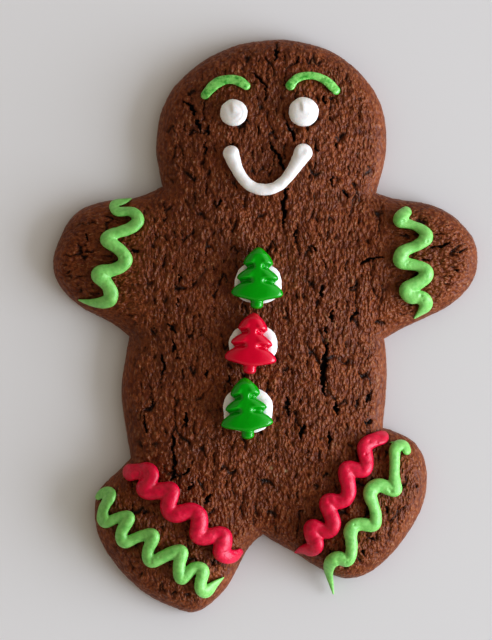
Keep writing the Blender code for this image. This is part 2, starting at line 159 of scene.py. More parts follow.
def linear(hexColour):
    # sRGB hex to the linear RGBA that sockets take.
    parts = [int(hexColour[i:i + 2], 16) / 255 for i in (0, 2, 4)]
    return [c / 12.92 if c <= 0.04045 else ((c + 0.055) / 1.055) ** 2.4 for c in parts] + [1.0]


def addNode(tree, kind, settings, inputs):
    # A shader node with its settings, and each input set to a value or linked to an output.
    node = tree.nodes.new("ShaderNode" + kind)
    for key, value in settings.items():
        setattr(node, key, value)
    for key, value in inputs.items():
        if isinstance(value, bpy.types.NodeSocket):
            tree.links.new(value, node.inputs[key])
        else:
            node.inputs[key].default_value = value
    return node


def startMaterial(name, shaderInputs):
    material = bpy.data.materials.new(name)
    material.use_nodes = True
    tree = material.node_tree
    shader = tree.nodes["Principled BSDF"]
    for key, value in shaderInputs.items():
        shader.inputs[key].default_value = value
    places = addNode(tree, "TexCoord", {}, {}).outputs["Object"]
    return material, tree, shader, places


def attribute(tree, name):
    return addNode(tree, "Attribute", {"attribute_name": name}, {}).outputs["Fac"]


def grain(tree, places, sizeMm, detail=2.0, roughness=0.5):
    # Noise whose lumps are about sizeMm across: object coordinates are in metres.
    return addNode(tree, "TexNoise", {}, {
        "Vector": places, "Scale": 1 / (sizeMm * mm), "Detail": detail, "Roughness": roughness,
    }).outputs["Fac"]


def blend(tree, share, first, second, way="MIX"):
    mixed = addNode(tree, "Mix", {"data_type": "RGBA", "blend_type": way}, {"Factor": share})
    for socket, value in ((mixed.inputs[6], first), (mixed.inputs[7], second)):
        if isinstance(value, bpy.types.NodeSocket):
            tree.links.new(value, socket)
        else:
            socket.default_value = value
    return mixed.outputs[2]


def spread(tree, value, low, high, fromZero=0.0, toOne=1.0):
    # Stretches low..high to fromZero..toOne, and holds it there beyond them.
    return addNode(tree, "MapRange", {}, {
        "Value": value, "From Min": low, "From Max": high, "To Min": fromZero, "To Max": toOne,
    }).outputs["Result"]


def bumps(tree, height, depthMm, strength):
    # Bent normals for a height of 0 to 1 that stands for depthMm.
    return addNode(tree, "Bump", {}, {
        "Height": height, "Distance": depthMm * mm, "Strength": strength}).outputs["Normal"]


# The biscuit's form

biscuit = {
    "crownHeight": 10.8,     # top of the puffed middle
    "shoulderHeight": 6.3,   # where the rounded edge meets the top
    "rimHeight": 1.3,        # where the side wall turns into the rounded edge
    "edgeRound": 5.0,        # width of the rounded edge
    "crownReach": 22.0,      # distance in from the edge at which the top stops rising
    "swellPower": 4,         # how much the nearest edge counts over the others in that distance
    "swellStart": 2.0,       # width over which the rise begins
    "wall": ((0.9, 0.0), (0.4, 0.2), (0.1, 0.6), (0.0, 1.0)),   # inset, height
    "outlineStep": 0.42,     # between points round the outline
    "edgeRings": 9,
    "edgeTurn": 40,          # degrees round the edge that the rings cover
    "topSteps": (0.37, 0.2),     # between the top's points, on the whole and near cracks
}

# The outline, anticlockwise from the right side of the neck. Stretches meet in the sharp inner
# corners: neck, armpits, hips and crotch.
outline = (
    ((26, 31.5), (28, 39), (28.3, 47), (25.5, 55.5), (19, 62.5), (9, 67), (0.5, 67.5),
     (-8, 66), (-16, 61.7), (-22.5, 55), (-25.7, 46.5), (-25.7, 39), (-24.4, 33)),
    ((-24.4, 33), (-31.5, 30.2), (-38.5, 29.2), (-44.5, 26.8), (-48.5, 21), (-50, 13),
     (-47, 7.5), (-40.5, 3), (-34.5, -0.5), (-32.3, -2.5)),
    ((-32.3, -2.5), (-33.2, -8), (-34, -14.5), (-33.5, -21.5), (-31.9, -31)),
    ((-31.9, -31), (-35.5, -34.8), (-39.3, -38.8), (-40.3, -45.5), (-38, -52.5),
     (-33.3, -58.8), (-27, -63.8), (-20.5, -66.8), (-16.8, -67.4), (-13, -65.4),
     (-8.3, -60.2), (-5, -53.8), (-2.5, -50.6), (-0.7, -49.1)),
    ((-0.7, -49.1), (2.4, -51), (6.5, -53.3), (13, -57.3), (19.5, -59.4), (26, -56.8),
     (31.5, -51.5), (35.7, -45.3), (38, -38), (37.3, -31), (34.5, -27), (30.5, -25),
     (27.5, -24)),
    ((27.5, -24), (28, -18), (28.5, -11), (27.9, -3)),
    ((27.9, -3), (32.5, -0.3), (39, 2.7), (45, 6.3), (49, 11.5), (49.6, 18.5),
     (45.5, 24.8), (38.5, 28.8), (31.5, 29.9), (26, 31.5)),
)


def outlinePoints(step):
    loop = np.concatenate([smoothThrough(points, step)[:-1] for points in outline])
    return loop - (loop.min(axis=0) + loop.max(axis=0)) / 2


coarseLoop = outlinePoints(1.0)


def toSegments(places, start, run):
    # Each point's distance to each segment, and the share of its length passed there.
    away = places[:, None] - start
    share = np.clip((away * run).sum(-1) / (run * run).sum(-1), 0, 1)
    return np.linalg.norm(away - share[..., None] * run, axis=-1), share


def distanceInside(places):
    # Distance to the outline, positive inside it and negative outside.
    start, end = coarseLoop, np.roll(coarseLoop, -1, axis=0)
    run = end - start
    nearest = toSegments(places, start, run)[0].min(axis=1)
    x, y = places[:, 0, None], places[:, 1, None]
    straddles = (start[:, 1] > y) != (end[:, 1] > y)
    rise = np.where(run[:, 1] == 0, 1, run[:, 1])
    crossing = start[:, 0] + (y - start[:, 1]) * run[:, 0] / rise
    inside = ((straddles & (x < crossing)).sum(axis=1) % 2) == 1
    return np.where(inside, nearest, -nearest)


def edgeHeight(inset):
    # A quarter ellipse up from the rim to the shoulder, and level from there on.
    back = 1 - np.clip(inset / biscuit["edgeRound"], 0, 1)
    rise = biscuit["shoulderHeight"] - biscuit["rimHeight"]
    return biscuit["rimHeight"] + rise * np.sqrt(1 - back**2)


def swell(places):
    # How far the puffed middle rises over the shoulder. It grows with a smooth distance from the
    # outline: each stretch of outline adds its length over a high power of its distance.
    start, end = coarseLoop, np.roll(coarseLoop, -1, axis=0)
    lengths = np.linalg.norm(end - start, axis=1)
    away = np.linalg.norm(places[:, None, :] - (start + end) / 2, axis=-1)
    power = biscuit["swellPower"]
    total = (lengths * np.hypot(away, biscuit["swellStart"]) ** -power).sum(axis=1)
    straight = math.sqrt(math.pi) * math.gamma((power - 1) / 2) / math.gamma(power / 2)
    smoothDistance = (total / straight) ** (-1 / (power - 1)) - biscuit["swellStart"]
    share = np.clip(smoothDistance / biscuit["crownReach"], 0, 1)
    rise = (biscuit["crownHeight"] - biscuit["shoulderHeight"]) * np.sin(share * math.pi / 2)
    return np.where(distanceInside(places) > 0, rise, 0)


# The cracks that stand out: for each width, the points that each one runs through. The finer
# ones between the crust's plates run down the body and along the arms.
cracks = {
    0.4: (
        ((-43.5, 17.5), (-40.2, 17.6)),
    ),
    0.5: (
        ((10.9, 19.1), (11.5, 17.5)), ((21.5, 10.1), (19.5, 8.5)), ((21.5, -17.5), (21.3, -18.8)),
        ((-26.3, -17.5), (-27.3, -19.4)), ((-23, 0.7), (-21, -2.1)),
        ((-13.9, -10.4), (-14.1, -12.3)), ((-20.2, 12), (-20, 10.5)), ((-21, 6.6), (-20.8, 4.6)),
        ((-3.3, 59.2), (-1.2, 57.9), (0.3, 55.7), (-0.2, 53)), ((1.1, 43.2), (1.7, 41.1)),
        ((-14.3, 42.7), (-13.7, 40)), ((-1.5, 47.4), (-1.8, 45.6)), ((10.9, 43.2), (12.1, 40.8)),
        ((16.4, 43.2), (16.7, 41.3)), ((24.5, -49.7), (25.6, -50.5)), ((22.7, -52.6), (23, -53.8)),
        ((36.7, 15.8), (38.8, 15.8)), ((-41.9, 21.5), (-41.8, 20.5)), ((6.7, 22.9), (6.7, 20.3)),
    ),
    0.6: (
        ((14.4, -0.2), (14, -1.7)), ((-28.4, -21.4), (-28.2, -25.3)),
        ((-24.2, -6.8), (-24, -11.1)), ((-21.6, -3.7), (-21.4, -6.4)),
        ((-8.9, -12), (-8.6, -13.9)), ((-31.4, 17.9), (-29.8, 17.3)), ((7.6, 63.2), (7.2, 61.4)),
        ((-13.6, 47), (-13.6, 44.7)), ((13.8, 54.1), (13.8, 52.4)), ((15.4, 35.2), (15.8, 32.9)),
        ((18, 32.1), (19.7, 30.2)), ((-10.7, 29.7), (-11.3, 28.2)),
        ((-17.1, -36.8), (-18.3, -38.5)), ((28.4, -42.5), (28.5, -43.7)),
        ((39.1, 18.2), (43.1, 19.4)), ((45, 17.2), (47.1, 18.2)),
    ),
    0.7: (
        ((15.6, 3.4), (15.3, 1)), ((13.1, 9.7), (12.9, 6.9)), ((21.6, 3.5), (20, 0.9)),
        ((22.1, 14.6), (24.4, 15.8), (27.7, 16)), ((5, -16.7), (5.3, -21.4)),
        ((24.7, -15.1), (24.2, -18.2)), ((4.9, 47.6), (6.3, 45.4), (6.4, 43.1)),
        ((-16.2, 48.6), (-15.5, 45.9)), ((-18.1, -33.5), (-19.5, -35.2)),
        ((44.7, 13.4), (45.3, 13)),
    ),
    0.8: (
        ((-21.6, -25.2), (-21.7, -29.5)), ((2.8, 66.3), (2.4, 64), (2, 62.4)),
        ((-20.9, -34.2), (-22.1, -35.9)),
    ),
    0.9: (
        ((8.8, -23.4), (8.6, -26.4)), ((16.2, -17.9), (17, -20.5)), ((24.8, -22.1), (24.5, -22.9)),
        ((-19, -20.8), (-18.8, -23)), ((1.9, 41.7), (3.6, 39.2), (4.1, 36.6)),
        ((-19.1, 53), (-17.4, 51.2), (-16.8, 49.6)), ((-21.4, -30), (-21.6, -33.5)),
        ((-13.1, -39.6), (-14, -41.6)), ((35.4, -37.2), (36.1, -37.9)),
    ),
    1.0: (
        ((4.9, 32.1), (4.2, 28.5), (4.4, 26.5), (3.9, 24.2)), ((15.1, -25.1), (15.3, -27.3)),
    ),
    1.2: (
        ((14.4, -4.2), (14.3, -5.6), (14, -7.2), (13.7, -9.6), (13.6, -13.1), (13.6, -16.3)),
    ),
}

crust = {
    "seed": 5,
    "lumps": ((16.0, 0.2), (6.5, 0.16)),    # size and height of the unevenness
    "crumb": ((2.4, 8.0, 0.45), (1.2, 2.5, 0.42), (0.75, 1.2, 0.36)),    # width, length, height
    "plates": {
        "cell": (2.4, 9.0),          # width and length of a plate
        "halfWidth": 0.19,           # of the cracks between them
        "depth": 0.65,
        "patch": 3.2,                # size of the patches where they open or close
        "open": (0.02, 0.32),        # patch noise at which they begin to open and are open
        "wander": (1.6, 0.5, 1),     # size, reach and steepness of their wiggles
    },
    "crackDepth": 1.3,               # of a placed crack 0.8 mm wide
    "crackHalfWidth": (0.18, 0.34),  # at its ends and added in its middle, for its width
    "crackLip": (0.16, 0.45),        # how high the crust curls up beside it, and how far out
    "crackRagged": (0.9, 0.5),       # size and share of the unevenness of its width
    "crackWander": ((2.0, 0.25, 1), ((2.5, 0.9, 2.5), 0.24, 6)),    # as the plates'
    "crackMargin": 1.5,              # how far beyond its points a crack is worked out
    "specks": ((1.3, -33.3), (4.8, -34.0), (14.4, -3.4)),    # pale sugar crumbs in the crust
    "speckSize": 0.3,
}


def wiggled(places, size, reach, steepness, seed):
    # Points moved sideways with noise. A steep one jumps to and fro, which gives ragged edges.
    moved = places[:, :2].copy()
    for axis in (0, 1):
        moved[:, axis] += reach * np.tanh(steepness * noise(places, size, seed + axis))
    return moved


def borderDistance(places, cell, seed):
    # Distance to the nearest border between plates. Each plate belongs to a random point in a
    # cell of a lattice, and a border lies half way between the two nearest points.
    size = np.array(cell)
    home = np.floor(places / size).astype(np.int64)
    shifts = np.random.default_rng(seed).uniform(0.1, 0.9, size=(4096, 2))
    seeds, away = [], []
    for step in itertools.product((-1, 0, 1), repeat=2):
        at = home + step
        seeds.append((at + shifts[scattered(at)]) * size)
        away.append(np.linalg.norm((places - seeds[-1]) / size, axis=1))
    seeds, away = np.array(seeds), np.array(away)
    order = np.argsort(away, axis=0)[:2]
    row = np.arange(len(places))
    nearest, second = away[order[0], row], away[order[1], row]
    apart = np.linalg.norm((seeds[order[0], row] - seeds[order[1], row]) / size, axis=1)
    return (second**2 - nearest**2) / (2 * apart) * size[0]


def plateCracks(places, seed):
    # Cracks between elongated plates: a bell-shaped groove along each border, broken up by a
    # patchy noise so that the borders open here and close there.
    settings = crust["plates"]
    wander = wiggled(places, *settings["wander"], seed)
    lines = np.exp(-(borderDistance(wander, settings["cell"], seed) / settings["halfWidth"]) ** 2)
    return lines * ease(noise(places[:, :2], settings["patch"], seed + 7), *settings["open"])


def crackDepths(places):
    # Depth of the cracks and height of their lips. Each crack is a steep groove along a
    # polyline, whose half width swells from the ends to the middle as a sine, and a wider, low
    # bell lifts the crust beside it. The way there wanders with noise.
    wander = places[:, :2]
    for k, settings in enumerate(crust["crackWander"]):
        wander = wiggled(np.column_stack([wander, places[:, 2]]), *settings, 301 + 10 * k)
    raggedSize, raggedShare = crust["crackRagged"]
    uneven = 1 + raggedShare * noise(places, raggedSize, 331)
    atEnds, inMiddle = crust["crackHalfWidth"]
    lipHeight, lipReach = crust["crackLip"]
    margin = crust["crackMargin"]
    deepest, lip = np.zeros(len(places)), np.zeros(len(places))
    placed = [(width, np.array(line)) for width, lines in cracks.items() for line in lines]
    for width, line in placed:
        low, high = line.min(axis=0) - margin, line.max(axis=0) + margin
        near = np.all((wander > low) & (wander < high), axis=1)
        run = np.diff(line, axis=0)
        lengths = np.linalg.norm(run, axis=1)
        distance, share = toSegments(wander[near], line[:-1], run)
        closest = distance.argmin(axis=1)
        row = np.arange(len(closest))
        away = distance[row, closest]
        before = np.concatenate([[0], np.cumsum(lengths)])[closest]
        whole = (before + share[row, closest] * lengths[closest]) / lengths.sum()
        halfWidth = width * (atEnds + inMiddle * np.sin(math.pi * np.clip(whole, 0.03, 0.97)))
        groove = np.exp(-(away / (halfWidth * uneven[near])) ** 4)
        depth = crust["crackDepth"] * min(1.3, width + 0.2) * groove
        deepest[near] = np.maximum(deepest[near], depth)
        curl = lipHeight * np.exp(-(away / (halfWidth + lipReach)) ** 2)
        lip[near] = np.maximum(lip[near], curl)
    return np.column_stack([deepest, lip])


def armShare(places):
    # 1 out on the arms, where the crust stretched along the arm instead of down the body.
    return ease(np.abs(places[:, 0]), 26, 33) * ease(places[:, 1], -9, -3)


def grown(places, seed):
    # The part of the relief that runs one way: crumbs, as noise whose sign is dropped so that
    # round tops meet in sharp valleys, and the cracks between plates.
    move = np.zeros(len(places))
    for k, (width, length, height) in enumerate(crust["crumb"]):
        move += height * np.abs(noise(places, (width, length, width), seed + k))
    return move, crust["plates"]["depth"] * plateCracks(places, seed + 50)


def crustRelief(places, inset):
    # Outward movement of the crust, and how deep in a crack each point lies.
    seed = crust["seed"]
    move = np.zeros(len(places))
    for k, (size, height) in enumerate(crust["lumps"]):
        move += height * noise(places, size, seed + k)
    onArm = armShare(places)
    upright, lying = grown(places, seed + 10), grown(places[:, [1, 0, 2]], seed + 10)
    crumb, lines = (first * (1 - onArm) + second * onArm for first, second in zip(upright, lying))
    cracked, lip = (crackDepths(places) * ease(inset, 0.2, 1.5)[:, None]).T
    deep = np.maximum(lines * ease(inset, 0.6, 3.0), cracked)
    level = (crumb - crumb.mean()) * (0.3 + 0.7 * ease(inset, 0, 3.0))
    return move + level + lip - deep, deep


def triangularLattice(reach, step):
    rows = np.arange(-reach[1], reach[1], step * math.sqrt(0.75))
    x, y = np.meshgrid(np.arange(-reach[0], reach[0], step), rows)
    x[1::2] += step / 2
    lattice = np.column_stack([x.ravel(), y.ravel()])
    return lattice + np.random.default_rng(1).uniform(-0.15, 0.15, lattice.shape) * step


def makeBiscuit(material):
    # Rings carried up the wall and over the rounded edge, a jittered triangular lattice over
    # the rest of the top, and a plain flat underside. Then the crust's relief moves every
    # point but the underside's along its normal.
    loop = outlinePoints(biscuit["outlineStep"])
    count = len(loop)
    ahead = unit(np.roll(loop, -1, axis=0) - np.roll(loop, 1, axis=0))
    inward = np.column_stack([-ahead[:, 1], ahead[:, 0]])
    rings = [np.column_stack([loop + inward * inset, np.full(count, height)])
             for inset, height in biscuit["wall"]]
    insets = [inset for inset, height in biscuit["wall"]]
    turns = np.radians(np.linspace(0, biscuit["edgeTurn"], biscuit["edgeRings"]))
    for inset in biscuit["edgeRound"] * (1 - np.cos(turns)):
        ring = loop + inward * inset
        rings.append(np.column_stack([ring, edgeHeight(inset) + inParts(swell, ring)]))
        insets.append(inset)
    faces = [list(range(count))[::-1]]
    for i in range(len(rings) - 1):
        faces += band(i * count, (i + 1) * count, count)

    reach = loop.max(axis=0)
    plain, fine = (triangularLattice(reach, step) for step in biscuit["topSteps"])
    onPlain, onFine = (inParts(crackDepths, np.column_stack([flat, np.full(len(flat), 8.0)]))
                       for flat in (plain, fine))
    lattice = np.concatenate([plain[onPlain[:, 0] <= 0.02], fine[onFine[:, 0] > 0.02]])
    inset = inParts(distanceInside, lattice)
    kept = inset > insets[-1] + biscuit["topSteps"][0] * 0.6
    lattice, inset = lattice[kept], inset[kept]
    flat = np.concatenate([rings[-1][:, :2], lattice])
    made = delaunay_2d_cdt([tuple(p) for p in flat.tolist()], [], [list(range(count))], 1, 1e-6)
    source = np.array([origins[0] for origins in made[3]])
    first = (len(rings) - 1) * count
    faces += (first + source[np.array(made[2])]).tolist()

    top = np.column_stack([lattice, edgeHeight(inset) + inParts(swell, lattice)])
    points = np.concatenate(rings + [top])
    allInsets = np.concatenate([np.repeat(insets, count), inset])
    triangles = np.array([t for f in faces[1:] for t in
                          ([f] if len(f) == 3 else [f[:3], [f[0], f[2], f[3]]])])
    normals = pointNormals(points, triangles)
    move, deep = crustRelief(points, allInsets)
    points = points + normals * (move * ease(points[:, 2], 0.1, 1.2))[:, None]
    piece = addMesh("gingerbreadBiscuit", points, faces, material, "biscuit")
    specks = np.array(crust["specks"])
    away = np.linalg.norm(points[:, None, :2] - specks, axis=-1).min(axis=1)
    for name, values in (("crackDepth", deep), ("alongArm", armShare(points)),
                         ("crumbShare", 0.35 + 0.65 * ease(allInsets, 0.5, 4.0)),
                         ("sugarSpeck", np.exp(-(away / crust["speckSize"]) ** 2))):
        layer = piece.data.attributes.new(name, "FLOAT", "POINT")
        layer.data.foreach_set("value", values.astype(np.float32))
    print("biscuit:", len(triangles) + count - 2, "triangles")


def crustPattern(tree, places, mirrored):
    # Height of the crumb, from 0 to about 1, as a sum: round crumbs 0.8 mm wide and 1.2 mm long,
    # which fall off with the distance from their middles, a finer roughness over them, and
    # plates 2.2 mm wide with sharp gaps between them. They lie down the body or, mirrored,
    # along the arms. All are bent by a slower noise.
    bend = addNode(tree, "TexNoise", {}, {"Vector": places, "Scale": 1 / (2.0 * mm)})
    bent = addNode(tree, "VectorMath", {"operation": "MULTIPLY_ADD"}, {
        0: bend.outputs["Color"], 1: (0.8 * mm,) * 3, 2: places}).outputs["Vector"]

    def cells(width, length):
        size = (length, width, width) if mirrored else (width, length, width)
        return addNode(tree, "Mapping", {}, {
            "Vector": bent, "Scale": tuple(1 / (side * mm) for side in size)}).outputs["Vector"]

    away = addNode(tree, "TexVoronoi", {"feature": "SMOOTH_F1"}, {
        "Vector": cells(0.8, 1.2), "Scale": 1.0, "Smoothness": 0.35}).outputs["Distance"]
    height = spread(tree, away, 0.75, 0.05, 0, 0.45)
    layers = (
        ("FBM", cells(0.6, 1.1), 0.3, 0.7, 0.35),
        ("RIDGED_MULTIFRACTAL", cells(2.2, 4.6), 0.15, 0.75, 0.2),
    )
    for kind, vector, low, high, most in layers:
        more = addNode(tree, "TexNoise", {"noise_type": kind}, {
            "Vector": vector, "Scale": 1.0, "Detail": 1.5}).outputs["Fac"]
        more = spread(tree, more, low, high, 0, most)
        height = addNode(tree, "Math", {}, {0: height, 1: more}).outputs[0]
    return height


def bakedGingerbread():
    # Baked gingerbread: a dark brown crust of coarse crumb with a dull, sugary gloss. Its colour
    # puts a painted highlight on the crumbs' tops, painted shade in the gaps between them and
    # near black painted shade in the cracks. The crumbs stand out less at the rim.
    material, tree, shader, places = startMaterial("bakedGingerbread", {
        "Roughness": 0.4, "IOR": 1.45, "Specular IOR Level": 0.28})
    along = attribute(tree, "alongArm")
    crumbs = blend(tree, along, crustPattern(tree, places, False), crustPattern(tree, places, True))

    # Painted light: crumb tops are lightened as a painted highlight, and the gaps between crumbs
    # are darkened as painted shade.
    colour = blend(tree, spread(tree, crumbs, 0.5, 0.8), linear("7e431f"), linear("9f7353"))
    colour = blend(tree, spread(tree, crumbs, 0.42, 0.15), colour, linear("622c12"))
    tint = spread(tree, grain(tree, places, 7, 3), 0.35, 0.65, 0.85, 1.1)
    colour = blend(tree, 1.0, colour, tint, "MULTIPLY")
    # Painted shade: the colour goes to near black with the depth of the cracks.
    deep = attribute(tree, "crackDepth")
    colour = blend(tree, spread(tree, deep, 0.2, 0.65), colour, linear("120401"))
    speck = attribute(tree, "sugarSpeck")
    colour = blend(tree, speck, colour, linear("a89168"))
    tree.links.new(colour, shader.inputs["Base Color"])
    share = attribute(tree, "crumbShare")
    height = addNode(tree, "Math", {"operation": "MULTIPLY"}, {0: crumbs, 1: share}).outputs[0]
    tree.links.new(bumps(tree, height, 0.9, 1.0), shader.inputs["Normal"])
    return material


makeBiscuit(bakedGingerbread())


# The piped icing

icing = {
    "step": 0.2,             # between stations along a strand
    "sides": 36,
    "raised": 0.2,           # over the height of a plain crust, as crumbs stand up from it
    "sunk": 0.4,             # how deep a foot goes below that
    "widestAt": 0.4,         # share of the height at which a strand is widest
    "overhangFrom": 1.0,     # closer to the edge than this, icing leaves the biscuit and droops
    "droop": 2.5,            # over which a drooping tail bends back towards level
    "overlap": 0.25,         # how far a run is lifted where it was laid over another one
    "settle": 0.7,           # length over which it comes back down
    "settleReach": 12,       # stations on each side over which that is worked out
    "wobble": 0.06,          # unevenness of the hand's pressure, as a share
    "cell": 0.16,            # of the grid that joins a strand's folds into one skin
}

# Each strand's route: x, y and half width at the points that the hand went through. Its height
# is given for its half width. Runs in the `over` direction were laid over the others. Wisps
# are thin ends that the piping tip pulled, and pores are burst bubbles: x, y and radius.
strands = {
    "icing_arm_left": {
        "colour": "green_icing", "height": 1.5, "over": (0.9, -0.4),
        "route": (
            (-31.7, 30, 0.2), (-33.9, 29.2, 0.8), (-35.8, 28.4, 1), (-35.5, 27.4, 1.1),
            (-31.5, 26.8, 1.2), (-29.9, 25.1, 1.45), (-31.5, 23.1, 1.45), (-34.8, 21.9, 1.4),
            (-37.2, 20.4, 1.65), (-34.9, 18.4, 1.5), (-32.9, 15.2, 1.65), (-36.1, 13.1, 1.55),
            (-39.1, 12, 1.95), (-37.5, 10.1, 1.65), (-36.5, 6.4, 1.75), (-40.9, 5.5, 0.9),
            (-44, 6.1, 0.2),
        ),
        "pores": ((-35.8, 18.2, 0.22), (-33.5, 16.2, 0.24), (-38.3, 9.7, 0.2)),
    },
    "icing_arm_right": {
        "colour": "green_icing", "height": 1.5, "over": (-0.9, -0.4),
        "route": (
            (33, 26.8, 1.35), (31.6, 24.9, 1.7), (34.2, 23.8, 1.1), (37.7, 21, 1.65),
            (34.6, 18.5, 1.3), (32.1, 17.1, 1.65), (31.6, 15.7, 1.8), (36, 14, 1.35),
            (37.7, 12.4, 1.75), (36.8, 10.8, 1.65), (33.2, 7.9, 1.9), (34.1, 7.1, 1.85),
            (36, 6.8, 1.65), (37.6, 5.5, 1.75), (36.3, 3.1, 0.85), (35, 1.8, 0.2),
        ),
        "pores": ((37.9, 19.9, 0.34), (36.5, 7.1, 0.32), (33, 14.3, 0.2), (36.9, 6.1, 0.2),
                  (33.6, 15, 0.18)),
    },
    "icing_foot_left_red": {
        "colour": "red_icing", "height": 1.4, "over": (-0.15, -1),
        "route": (
            (-31.6, -34.4, 2.1), (-29.4, -34.1, 1.85), (-27.2, -34.3, 2.05),
            (-27.2, -36, 1.95), (-28.2, -38.2, 2.2), (-26.2, -38.8, 2.05),
            (-22.2, -38.8, 2.05), (-22.7, -43.1, 1.95), (-21.7, -44, 2.05),
            (-16.8, -43.4, 1.95), (-15.6, -44.9, 2.05), (-15.7, -49.2, 2.05),
            (-12.3, -49.2, 2), (-10, -49.3, 2.1), (-10, -51.3, 2.05),
            (-10.4, -53.2, 2), (-9.2, -54, 1.9), (-7.2, -53.9, 1.5), (-6.1, -53.2, 0.9),
        ),
        "pores": ((-7.4, -53.3, 0.35), (-25.1, -42.8, 0.2)),
        "curl": (-30.6, -34.8, 3.2),
    },
    "icing_foot_left_green": {
        "colour": "green_icing", "height": 1.55, "over": (-0.2, -1),
        "route": (
            (-39.4, -40.3, 0.75), (-38.1, -39.3, 1.2), (-36.6, -39.2, 1.4), (-37.4, -41.6, 1.3),
            (-38.3, -44.3, 1.4), (-37.9, -46, 1.5), (-35.6, -45.4, 1.25), (-32.2, -44.9, 1.5),
            (-33.9, -49.7, 1.45), (-33.4, -50.6, 1.5), (-30.9, -50, 1.3), (-26.4, -49.2, 1.6),
            (-27.7, -54.1, 1.4), (-27.2, -55.1, 1.5), (-24.5, -54.4, 1.5), (-19.8, -53.2, 1.7),
            (-20.2, -55.6, 1.5), (-19.7, -59.3, 1.5), (-16, -56.6, 1.4), (-15, -57, 1.5),
            (-15.1, -61.9, 1.5), (-14.4, -62.4, 1.6), (-12.7, -61.4, 1.2), (-9.9, -59.2, 0.2),
        ),
        "pores": ((-24.9, -54.2, 0.25), (-26.9, -55.5, 0.2), (-19.6, -60, 0.2)),
    },
    "icing_foot_right_red": {
        "colour": "red_icing", "height": 1.4, "over": (0.1, -1),
        "route": (
            (27.4, -26.2, 1.65), (25.5, -26.8, 1.7), (23.5, -28, 1.85), (23.6, -32.9, 1.7),
            (23.1, -33.7, 1.8), (21.3, -33.7, 1.8), (19.2, -33.5, 1.9), (19.5, -38.5, 1.8),
            (17.7, -41.1, 1.8), (14.4, -41.3, 1.9), (15, -43.6, 1.8), (15.4, -47.6, 1.9),
            (14.1, -48.2, 1.8), (11, -47.3, 2), (11.1, -49.5, 1.9), (11.7, -51.2, 2),
            (11.1, -52.3, 1.9), (9.6, -52.5, 1.5), (6.9, -53.4, 0.2),
        ),
        "pores": ((24.3, -27.1, 0.3), (26.1, -27.4, 0.24), (23.4, -30.1, 0.28)),
    },
    "icing_foot_right_green": {
        "colour": "green_icing", "height": 1.5, "over": (0, -1),
        "route": (
            (33.2, -29.3, 1.05), (32.4, -28.1, 1.25), (30.8, -28.4, 1.4), (30.3, -30.8, 1.3),
            (30.4, -37, 1.45), (30.4, -38.5, 1.6), (28.6, -38, 1.6), (26.5, -37.4, 1.7),
            (24.8, -38.4, 1.75), (25.6, -43, 1.35), (25.2, -46.8, 1.55), (22.7, -46.5, 1.55),
            (20.4, -47.2, 1.7), (20.2, -52.4, 1.4), (18.9, -55.1, 1.55), (17.5, -54.6, 1.7),
            (15.5, -55.4, 1.7), (14.9, -57.8, 1.1), (15.3, -60, 0.7), (16, -63.2, 0.2),
        ),
        "wisps": (((31.4, -28, 0.7), (30.4, -27.5, 0.4), (29.2, -27.4, 0.1)),),
        "pores": ((29.4, -38.7, 0.4), (28.9, -38.3, 0.25), (20.8, -46.6, 0.25),
                  (19.6, -55, 0.22), (18.9, -55.4, 0.2)),
    },
    "brow_left": {
        "colour": "brow_icing", "height": 0.95, "flat": 0.55,
        "route": ((-14.2, 54.2, 1.05), (-12.7, 56, 1.25), (-10.5, 57.5, 1.2), (-7.9, 57.9, 1.1),
                  (-5.9, 57.3, 1.2), (-4.6, 56.4, 1.05)),
    },
    "brow_right": {
        "colour": "brow_icing", "height": 0.95, "flat": 0.55,
        "route": ((5.8, 56.4, 1.15), (6.9, 57.8, 1.05), (10, 58.8, 0.95), (12.9, 58.3, 0.95),
                  (15, 56.9, 1.1), (16.5, 55.3, 1.05)),
        "pores": ((13.8, 58.3, 0.22), (15.9, 56.2, 0.24)),
    },
    "mouth": {
        "colour": "white_icing", "height": 1.3, "rough": 0.3,
        "route": ((-8.1, 40.4, 1.95), (-6.7, 36.8, 1.45), (-3.1, 32.6, 1.35), (1.8, 32.3, 1.35),
                  (6.1, 36.2, 1.45), (8.8, 40.6, 2.2)),
        "pores": ((8.7, 41, 0.9),),
    },
}


def icingHeight(places):
    # Height at which icing lies: on the crust, but past the edge it droops free of the wall, at
    # the slope that it had there and then ever flatter.
    inset = distanceInside(places)
    lip = edgeHeight(icing["overhangFrom"])
    tiny = 0.01
    slope = (edgeHeight(icing["overhangFrom"] + tiny) - lip) / tiny
    past = np.maximum(icing["overhangFrom"] - inset, 0)
    droop = slope * icing["droop"] * (1 - np.exp(-past / icing["droop"]))
    lying = np.where(inset < icing["overhangFrom"], lip - droop, edgeHeight(inset))
    return lying + swell(places)


def roundedEnds(route):
    # Carries a route past its two ends by their half width, closing in as a half circle.
    shares = np.sin(np.radians((15, 30, 45, 58, 70, 80, 87)))
    ends = []
    for end, inner in ((route[0], route[1]), (route[-1], route[-2])):
        places = end[:2] + unit(end[:2] - inner[:2]) * (shares * end[2])[:, None]
        ends.append(np.column_stack([places, end[2] * np.sqrt(1 - shares**2)]))
    return np.concatenate([ends[0][::-1], route, ends[1]])


